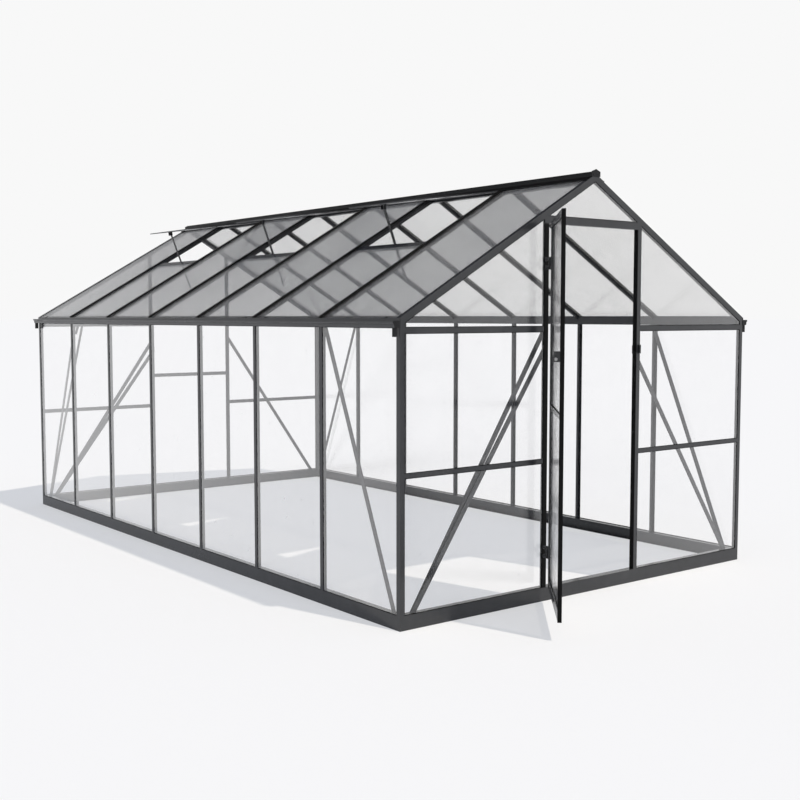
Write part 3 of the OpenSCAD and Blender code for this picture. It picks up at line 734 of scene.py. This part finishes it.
@dataclass
class TwinWallRoof:
    """The hollow roof sheets and vent panels, built as extruded twin-wall sections."""

    finish: bpy.types.Material
    rib_finish: bpy.types.Material
    flute: float = 10.5 * MM
    skin: float = 0.7 * MM
    rib: float = 0.6 * MM

    def build(self) -> None:
        """Builds the sheets of both slopes and of the vents in place of their solid nodes."""
        for node in ("roof_sheets_left", "roof_sheets_right", "vent_panels"):
            work = Workpiece()
            for slab in slabs_of(node):
                self.sheet(work, slab)
            piece = work.finish(node + "_fluted", self.finish, HOUSE, Slot.TWIN_WALL)
            piece.data.materials.append(self.rib_finish)
            piece.data.polygons.foreach_set("material_index", work.marks)
            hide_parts(node)

    def sheet(self, work: Workpiece, slab: Slab) -> None:
        """Adds one closed sheet whose cells run up the slope.

        Args:
            work: The mesh that gets the sheet.
            slab: The space that the sheet fills.
        """
        cells = max(1, round((slab.high.y - slab.low.y - self.rib) / self.flute))
        pitch = (slab.high.y - slab.low.y - self.rib) / cells
        columns = [slab.low.y + i * pitch + edge for i in range(cells + 1)
                   for edge in (0.0, self.rib)]
        levels = [slab.low.z, slab.low.z + self.skin, slab.high.z - self.skin, slab.high.z]
        points = [(x, y, z) for x in (slab.low.x, slab.high.x) for y in columns for z in levels]
        rows, width = len(levels), len(columns)

        def corner(end: int, column: int, level: int) -> int:
            """Number of the point at an end, a column and a level."""
            return (end * width + column) * rows + level

        skins, ribs = [], []
        for c in range(width - 1):
            hollow = c % 2 == 1
            outside = skins if hollow else ribs
            for level, turned in ((0, True), (3, False)):
                outside.append(self.strip(corner, (c, level), (c + 1, level), turned))
            if hollow:
                skins.append(self.strip(corner, (c, 1), (c + 1, 1), False))
                skins.append(self.strip(corner, (c, 2), (c + 1, 2), True))
                ribs.append(self.strip(corner, (c, 1), (c, 2), True))
                ribs.append(self.strip(corner, (c + 1, 1), (c + 1, 2), False))
            for level in (0, 2) if hollow else (0, 1, 2):
                ring = [(c, level), (c + 1, level), (c + 1, level + 1), (c, level + 1)]
                ribs.append([corner(0, *p) for p in reversed(ring)])
                ribs.append([corner(1, *p) for p in ring])
        for level in range(3):
            ribs.append(self.strip(corner, (0, level), (0, level + 1), False))
            ribs.append(self.strip(corner, (width - 1, level), (width - 1, level + 1), True))
        work.solid(slab.place, points, skins + ribs)
        work.marks += [0] * len(skins) + [1] * len(ribs)

    @staticmethod
    def strip(corner: Callable[[int, int, int], int], a: tuple[int, int],
              b: tuple[int, int], turned: bool) -> list[int]:
        """A face along the whole sheet between two points of its section: column, level."""
        face = [corner(0, *a), corner(1, *a), corner(1, *b), corner(0, *b)]
        return face[::-1] if turned else face


@dataclass
class RoofTrim:
    """Black strips pushed over the rafters' ribs, and the clips that hold the sheets' feet."""

    finish: bpy.types.Material
    rib_height: float = 6.0
    wall: float = 1.0
    play: float = 0.1  # between a strip and its rib
    lift: float = 0.3  # of a strip's lips over the slope
    shoulder: float = 1.2
    bevel: float = 0.4  # of the shoulder's middle, from its square corner
    length: float = 1346.0
    foot: tuple[float, float, float] = (-2.0, -0.4, -1.0)  # its start, end and underside
    clip_places: tuple[float, ...] = (108.0, 1129.0, 1332.0, 4191.0)
    clip_width: float = 14.0
    hook: tuple[tuple[float, float], ...] = (
        (-3.0, -1.2), (-1.2, -1.2), (-1.2, -2.4), (11.0, -2.4), (12.0, -1.6), (11.0, -0.6),
        (0.5, -0.2), (-1.5, 1.6), (-3.0, 1.6))

    def build(self) -> None:
        """Builds the strips and clips of both slopes."""
        for side in Side:
            strips, clips = Workpiece(), Workpiece()
            for i in range(1, BAYS):
                self.strip(strips, side, i * BAY)
            strips.finish("rafter_cappings_" + side.word, self.finish, HOUSE, Slot.MOULDING)
            for y in self.clip_places:
                self.clip(clips, side, y)
            clips.finish("sheet_clips_" + side.word, self.finish, HOUSE, Slot.MOULDING)

    def strip(self, work: Workpiece, side: Side, y: float) -> None:
        """Adds one strip with rounded shoulders and a closed foot.

        Args:
            work: The mesh that gets it.
            side: The slope that it lies on.
            y: Its middle, from the front of the house.
        """
        rib, top = BAR / 2 + self.play, self.rib_height + self.play
        outer, crest = BAR / 2 + self.wall, self.rib_height + self.wall
        start, end, underside = self.foot
        shoulder = [(outer, crest - self.shoulder), (outer - self.bevel, crest - self.bevel),
                    (outer - self.shoulder, crest)]
        shoulders = shoulder + [(-x, z) for x, z in reversed(shoulder)]
        section = [(-outer, self.lift), (-rib, self.lift), (-rib, top), (rib, top),
                   (rib, self.lift), (outer, self.lift), *shoulders]
        place = on_slope(side) @ Matrix.Translation((0.0, -side.value * y, 0.0)) @ UP_SLOPE
        work.prism(place, section, end, self.length)
        work.prism(place, [(-outer, underside), (outer, underside), *shoulders], start, end)

    def clip(self, work: Workpiece, side: Side, y: float) -> None:
        """Adds one hooked clip over the foot of a roof sheet.

        Args:
            work: The mesh that gets it.
            side: The slope that it lies on.
            y: Its middle, from the front of the house.
        """
        place = on_slope(side) @ Matrix.Translation((0.0, -side.value * y, 0.0)) @ STOOD_UP
        work.prism(place, self.hook, -self.clip_width / 2, self.clip_width / 2)


@dataclass
class RidgeGrooveShade:
    """Black strips laid in the grooves between the ribs of the ridge cap's wings: painted shade."""

    finish: bpy.types.Material
    wing_foot: float = 1347.4
    grooves: tuple[tuple[float, float], ...] = (
        (4.3, 9.7), (12.3, 19.7), (22.3, 29.7), (32.3, 39.0))
    seat: float = 2.6
    thick: float = 0.6
    end_gap: float = 1.0

    def build(self) -> None:
        """Builds the painted-shade strips of both wings."""
        for side in Side:
            work = Workpiece()
            low_y, high_y = sorted(-side.value * y
                                   for y in (self.end_gap, LENGTH - self.end_gap))
            for start, end in self.grooves:
                work.box(on_slope(side), (self.wing_foot + start, low_y, self.seat),
                         (self.wing_foot + end, high_y, self.seat + self.thick))
            work.finish("ridge_groove_shade_" + side.word, self.finish, HOUSE, Slot.MOULDING)


@dataclass
class Seals:
    """Extruded black rubber: round every wall sheet, and in the doorway and on the door.

    The seals round the wall and gable sheets are also painted shade: they stand for the
    shade that falls between a bar's flange and its sheet.
    """

    finish: bpy.types.Material
    width: float = 3.0
    proud: float = 1.2
    clear: float = 0.05  # between a seal and what it lies on
    strip: float = 2.0
    setback: float = 0.5
    lip: float = 1.4
    lip_width: float = 10.0
    bead: float = 3.5
    bead_thick: float = 1.3
    bead_depths: tuple[float, float] = (18.55, 13.2)

    def build(self) -> None:
        """Builds the seals of the walls, the gables, the doorway and the door."""
        self.side_walls()
        self.gables()
        self.doorway()
        self.door()

    def round_pane(self, work: Workpiece, place: Matrix,
                   outline: Sequence[tuple[float, float]]) -> None:
        """Adds the seal round the part of a sheet that shows, on the sheet's outer face.

        Its black is also painted shade: the shade between the bar's flange and the sheet.
        """
        low = -FLANGE + self.clear
        work.ring(place, outline, self.width, low, low + self.proud)

    def side_walls(self) -> None:
        """Builds the seals of both side walls, whose black is also painted shade."""
        for side in Side:
            work = Workpiece()
            for i in range(BAYS):
                ends = [i * BAY + (BAR / 2 if i else POST),
                        (i + 1) * BAY - (BAR / 2 if i < BAYS - 1 else POST)]
                low, high = sorted(side.value * y for y in ends)
                self.round_pane(work, in_side_wall(side), oblong((low, BASE_TOP), (high, EAVES)))
            work.finish("wall_seals_and_shade_" + side.word, self.finish, HOUSE, Slot.MOULDING)

    def gables(self) -> None:
        """Builds the seals of both gables, whose black is also painted shade."""
        inner, outer = UPRIGHT
        corner, half = HALF_WIDTH - POST, RAIL / 2
        bands = ((BASE_TOP, GABLE_RAIL - half), (GABLE_RAIL + half, TIE[0]))
        bays = ((-corner, -outer), (outer, corner))
        for rear, word in ((False, "front"), (True, "rear")):
            work = Workpiece()
            place = in_gable(rear)
            outlines = [oblong((a, low), (b, high)) for low, high in bands for a, b in bays]
            outlines += [[(a, TIE[1]), (b, TIE[1]), (b, under_rake(b)), (a, under_rake(a))]
                         for a, b in bays]
            if rear:
                outlines.append(oblong((-inner, BASE_TOP), (inner, REAR_RAIL - half)))
                outlines.append([(-inner, REAR_RAIL + half), (inner, REAR_RAIL + half),
                                 (inner, under_rake(inner)), (0.0, under_rake(0.0)),
                                 (-inner, under_rake(inner))])
            else:
                reach = (under_rake(0.0) - HEADER[1]) / math.tan(PITCH)
                outlines.append([(-reach, HEADER[1]), (reach, HEADER[1]), (0.0, under_rake(0.0))])
            for outline in outlines:
                self.round_pane(work, place, outline)
            work.finish("gable_seals_and_shade_" + word, self.finish, HOUSE, Slot.MOULDING)

    def doorway(self) -> None:
        """Builds the strips on the doorway's faces and on the hinge side's front."""
        work = Workpiece()
        inner, outer = (edge * MM for edge in UPRIGHT)
        strip, depth = self.strip * MM, BAR_DEPTH * MM
        low, high = BASE_TOP * MM, HEADER[0] * MM
        place = Matrix.Identity(4)
        for x in (-inner, inner - strip):
            work.box(place, (x, self.setback * MM, low), (x + strip, depth, high))
        work.box(place, (-outer, -strip, low), (strip - inner, -self.clear * MM, high))
        work.finish("doorway_seals", self.finish, HOUSE, Slot.MOULDING)

    def door(self) -> None:
        """Builds the door's edge seal and the beads round its two panes."""
        work = Workpiece()
        place = on_door()
        (front, back), (low, high) = DOOR_Y, DOOR_Z
        work.box(place, (DOOR_HALF - self.lip_width, front - self.lip, low),
                 (DOOR_HALF, front - self.clear, high))
        work.box(place, (DOOR_HALF + self.clear, front, low), (DOOR_HALF + self.lip, back, high))
        edge = DOOR_HALF - DOOR_STILE
        for bottom, top in DOOR_PANES:
            for near in self.bead_depths:
                work.ring(place @ STOOD_UP, oblong((-edge, bottom), (edge, top)), self.bead,
                          near, near + self.bead_thick)
        work.finish("door_seals", self.finish, DOOR, Slot.MOULDING)


@dataclass
class Fixings:
    """Nuts and screws in the frame's colour, at the braces, hinges, keeper and end caps."""

    finish: bpy.types.Material
    inset: float = 22.0  # from a brace's end to its bolt
    wall_foot: float = 56.0  # from a post to the foot of a side wall's brace
    second_head: float = 120.0  # from the last stud to the head of the left wall's second one
    knee_foot: tuple[float, float] = (8.0, 75.0)  # from that stud, and below the eaves
    knee_head: float = 65.0
    gable_foot: float = 71.0
    gable_head: float = 1208.0
    gable_step: float = 88.0  # from a gable brace's head to its double's
    hinge_face: tuple[float, float] = (-331.5, -17.0)
    hinge_steps: tuple[float, float] = (-20.0, 20.0)
    hinge_screw: float = 2.8
    cap_screws: tuple[float, float] = (-15.0, 15.0)
    cap_drop: float = 2.0
    cap_thick: float = 3.0
    keeper_face: tuple[float, float] = (346.4, 7.7)
    keeper_heights: tuple[float, float] = (1209.0, 1241.0)
    keeper_screw: float = 2.6

    def build(self) -> None:
        """Builds the fixings of the house and of the door."""
        house = Workpiece()
        self.wall_braces(house)
        self.gable_braces(house)
        self.small_parts(house)
        house.finish("house_fixings", self.finish, HOUSE, Slot.FITTINGS)
        door = Workpiece()
        for z in HINGE_HEIGHTS:
            for step in self.hinge_steps:
                face = Matrix.Translation((*self.hinge_face, z + step))
                door.screw(on_door() @ face @ Matrix.Rotation(-math.pi / 2, 4, "Y"),
                           self.hinge_screw)
        door.finish("door_fixings", self.finish, DOOR, Slot.FITTINGS)

    def ends(self, work: Workpiece, place: Matrix, foot: tuple[float, float],
             head: tuple[float, float], depth: float) -> None:
        """Adds a bolt near each end of a brace, on its inner face.

        Args:
            work: The mesh that gets them.
            place: The frame of the wall.
            foot: The brace's lower end in that frame.
            head: Its upper end.
            depth: How far its inner face lies behind the wall's.
        """
        low, high = Vector(foot), Vector(head)
        way = (high - low).normalized() * self.inset
        inwards = Matrix.Rotation(math.pi, 4, "X")
        for spot in (low + way, high - way):
            work.bolt(place @ Matrix.Translation((spot.x, spot.y, -depth)) @ inwards)

    def wall_braces(self, work: Workpiece) -> None:
        """Adds the bolts of the side walls' braces to a mesh."""
        stud, near, depth = LENGTH - BAY, POST + self.wall_foot, BAR_DEPTH + BRACE
        along, drop = self.knee_foot
        for side in Side:
            place, sign = in_side_wall(side), side.value
            far = (sign * (LENGTH - near), BASE_TOP)
            self.ends(work, place, (sign * near, BASE_TOP), (sign * BAY, EAVES), depth)
            self.ends(work, place, far, (sign * stud, EAVES), depth)
            if side is Side.LEFT:
                self.ends(work, place, far, (sign * (stud - self.second_head), EAVES),
                          depth + BRACE)
                self.ends(work, place, (sign * (stud - along), EAVES - drop),
                          (sign * (stud - self.knee_head), EAVES), depth)

    def gable_braces(self, work: Workpiece) -> None:
        """Adds the bolts of the gables' braces to a mesh."""
        upright, foot = sum(UPRIGHT) / 2, HALF_WIDTH - POST - self.gable_foot
        for rear in (False, True):
            place, step = in_gable(rear), -self.gable_step if rear else self.gable_step
            for sign in (-1, 1):
                heads = [(self.gable_head, BRACE)]
                if sign == (1 if rear else -1):
                    heads.append((self.gable_head + step, 2 * BRACE))
                for z, depth in heads:
                    self.ends(work, place, (sign * foot, BASE_TOP), (sign * upright, z),
                              BAR_DEPTH + depth)

    def small_parts(self, work: Workpiece) -> None:
        """Adds the screws of the ridge's end caps and of the latch keeper to a mesh."""
        for rear in (False, True):
            for x in self.cap_screws:
                spot = Matrix.Translation((x, APEX - self.cap_drop, self.cap_thick))
                work.screw(in_gable(rear) @ spot)
        across, out = self.keeper_face
        for z in self.keeper_heights:
            work.screw(in_gable(False) @ Matrix.Translation((across, z, out)), self.keeper_screw)


# ---------- Surroundings ----------


def straight_sight(tree: bpy.types.NodeTree) -> bpy.types.NodeSocket:
    """A socket that is 1 for what the eye, gloss and glass see, and 0 for other rays."""
    path = add_node(tree, "LightPath")
    direct = add_node(tree, "Math", {
        0: path.outputs["Is Camera Ray"], 1: path.outputs["Is Glossy Ray"]}, operation="ADD")
    return add_node(tree, "Math", {
        0: direct.outputs[0], 1: path.outputs["Is Transmission Ray"]},
        operation="ADD", use_clamp=True).outputs[0]


@dataclass
class Studio:
    """Plain pale floor, an even sky, a high sun, and the camera."""

    eye: tuple[float, float, float] = (-4.2478, -3.8959, 1.3952)
    heading: float = 37.784  # degrees to the right of straight back
    dip: float = 4.232  # degrees
    lens: float = 50.99
    sensor: float = 36.0
    near: float = 0.05
    sun_travel: tuple[float, float, float] = (-0.144, 0.55, -1.0)
    sun_strength: float = 2.3
    sun_width: float = 1.2  # degrees
    sun_colour: str = "#fff7ea"
    sky_colour: str = "#9fa8bb"
    backdrop: str = "#f8f8f8"  # the floor, and the wall behind the house
    ceiling: str = "#38393d"
    wall_top: float = 0.27  # where the wall ends, as the Z of a direction
    ceiling_edge: float = 0.42
    floor_glow: float = 0.52  # share of the floor's colour that is its own light
    reach: float = 400.0  # half the floor's width
    crossings: int = 64  # faces that a ray may pass through

    def build(self) -> None:
        """Sets the scene around the house."""
        self.floor()
        self.sky()
        self.sun()
        self.camera()
        bpy.context.scene.view_settings.view_transform = "Standard"
        bpy.context.scene.cycles.transparent_max_bounces = self.crossings

    def floor(self) -> None:
        """Lays the floor, which keeps the house's shadow."""
        material, tree = blank_material("pale_matt_floor")
        paint = add_node(tree, "BsdfDiffuse", {"Color": linear(self.backdrop)})
        pale = add_node(tree, "Emission", {"Color": linear(self.backdrop), "Strength": 1.0})
        share = add_node(tree, "Math", {0: straight_sight(tree), 1: self.floor_glow},
                         operation="MULTIPLY")
        seen = add_node(tree, "MixShader", {
            0: share.outputs[0], 1: paint.outputs["BSDF"], 2: pale.outputs["Emission"]})
        add_node(tree, "OutputMaterial", {"Surface": seen.outputs["Shader"]})
        mesh = bpy.data.meshes.new("floor")
        corners = oblong((-self.reach, -self.reach), (self.reach, self.reach))
        mesh.from_pydata([(*c, CAD_BOX[0].z) for c in corners], [], [(0, 1, 2, 3)])
        mesh.materials.append(material)
        floor = bpy.data.objects.new("floor", mesh)
        bpy.context.scene.collection.objects.link(floor)

    def sky(self) -> None:
        """Lights the house evenly; eye, gloss and glass see a pale wall and a dark ceiling."""
        world = bpy.data.worlds.new("studio")
        world.use_nodes = True
        tree = world.node_tree
        tree.nodes.clear()
        light = add_node(tree, "Background", {"Color": linear(self.sky_colour), "Strength": 1.0})
        height = add_node(tree, "SeparateXYZ", {
            "Vector": add_node(tree, "TexCoord").outputs["Generated"]}).outputs["Z"]
        rise = add_node(tree, "MapRange", {
            "Value": height, "From Min": self.wall_top, "From Max": self.ceiling_edge})
        hall = add_node(tree, "Mix", {
            0: rise.outputs["Result"], 6: linear(self.backdrop), 7: linear(self.ceiling)},
            data_type="RGBA")
        back = add_node(tree, "Background", {"Color": hall.outputs[2], "Strength": 1.0})
        both = add_node(tree, "MixShader", {
            0: straight_sight(tree), 1: light.outputs["Background"],
            2: back.outputs["Background"]})
        add_node(tree, "OutputWorld", {"Surface": both.outputs["Shader"]})
        # No shadow rays go to the sky, so the sheets' shade for lamps doesn't dim it.
        world.cycles.sampling_method = "NONE"
        bpy.context.scene.world = world

    def sun(self) -> None:
        """Hangs the sun, high in front and a little to the right."""
        light = bpy.data.lights.new("sun", "SUN")
        light.energy = self.sun_strength
        light.color = linear(self.sun_colour)[:3]
        light.angle = math.radians(self.sun_width)
        lamp = bpy.data.objects.new("sun", light)
        lamp.rotation_mode = "QUATERNION"
        lamp.rotation_quaternion = Vector(self.sun_travel).to_track_quat("-Z", "Y")
        bpy.context.scene.collection.objects.link(lamp)

    def camera(self) -> None:
        """Stands the camera off the left front corner, at a person's chest height."""
        data = bpy.data.cameras.new("camera")
        data.lens = self.lens
        data.sensor_width = self.sensor
        data.clip_start, data.clip_end = self.near, 4 * self.reach
        eye = bpy.data.objects.new("camera", data)
        eye.location = self.eye
        eye.rotation_euler = (math.radians(90 - self.dip), 0.0, math.radians(-self.heading))
        bpy.context.scene.collection.objects.link(eye)
        bpy.context.scene.camera = eye


def main() -> None:
    """Builds the looks in order."""
    logging.basicConfig(level=logging.INFO, format="%(name)s: %(message)s")
    coat = PowderCoat("powder_coated_aluminium", "#313234", "#3a3b3d").build()
    # A darker, duller copy of the coat for the ridge cap; the darker colour is painted shade.
    dull_shaded_coat = PowderCoat("matt_powder_coat_painted_shade", "#1a1b1c", "#212223",
                           roughness=0.45, gloss=0.16).build()
    steel = PowderCoat("powder_coated_steel", "#1c1d1f", "#262729", roughness=0.26).build()
    nylon = BlackPolymer("moulded_nylon", "#191a1c").build()
    strip = BlackPolymer("extruded_pvc_strip", "#0b0b0c", roughness=0.5, gloss=0.14,
                         grain_mm=1.1).build()
    rubber = BlackPolymer("extruded_epdm_rubber", "#0a0a0b", roughness=0.7, gloss=0.14,
                          grain_mm=0.9).build()
    clear = ClearPolycarbonate("clear_polycarbonate", "#ffffff", "#e8ecf0", "#a8a8a8").build()
    milky = TwinWallPolycarbonate("twin_wall_polycarbonate", "#fefefe", "#f7f7f5",
                                  "#c4c4c4").build()
    ribs = TwinWallPolycarbonate("twin_wall_ribs", "#fefefe", "#dcdddf", "#c4c4c4",
                                 scatter_share=0.18).build()

    BarFrame(coat, dull_shaded_coat).build()
    Hardware(steel, nylon).build()
    ClearSheets(clear).build()
    TwinWallRoof(milky, ribs).build()
    RoofTrim(strip).build()
    # Black strips in the ridge cap's grooves: painted shade in the grooves.
    RidgeGrooveShade(strip).build()
    # The seals round the sheets are real rubber and also painted shade by the flanges.
    Seals(rubber).build()
    Fixings(steel).build()
    Studio().build()


if __name__ == "__main__":
    main()
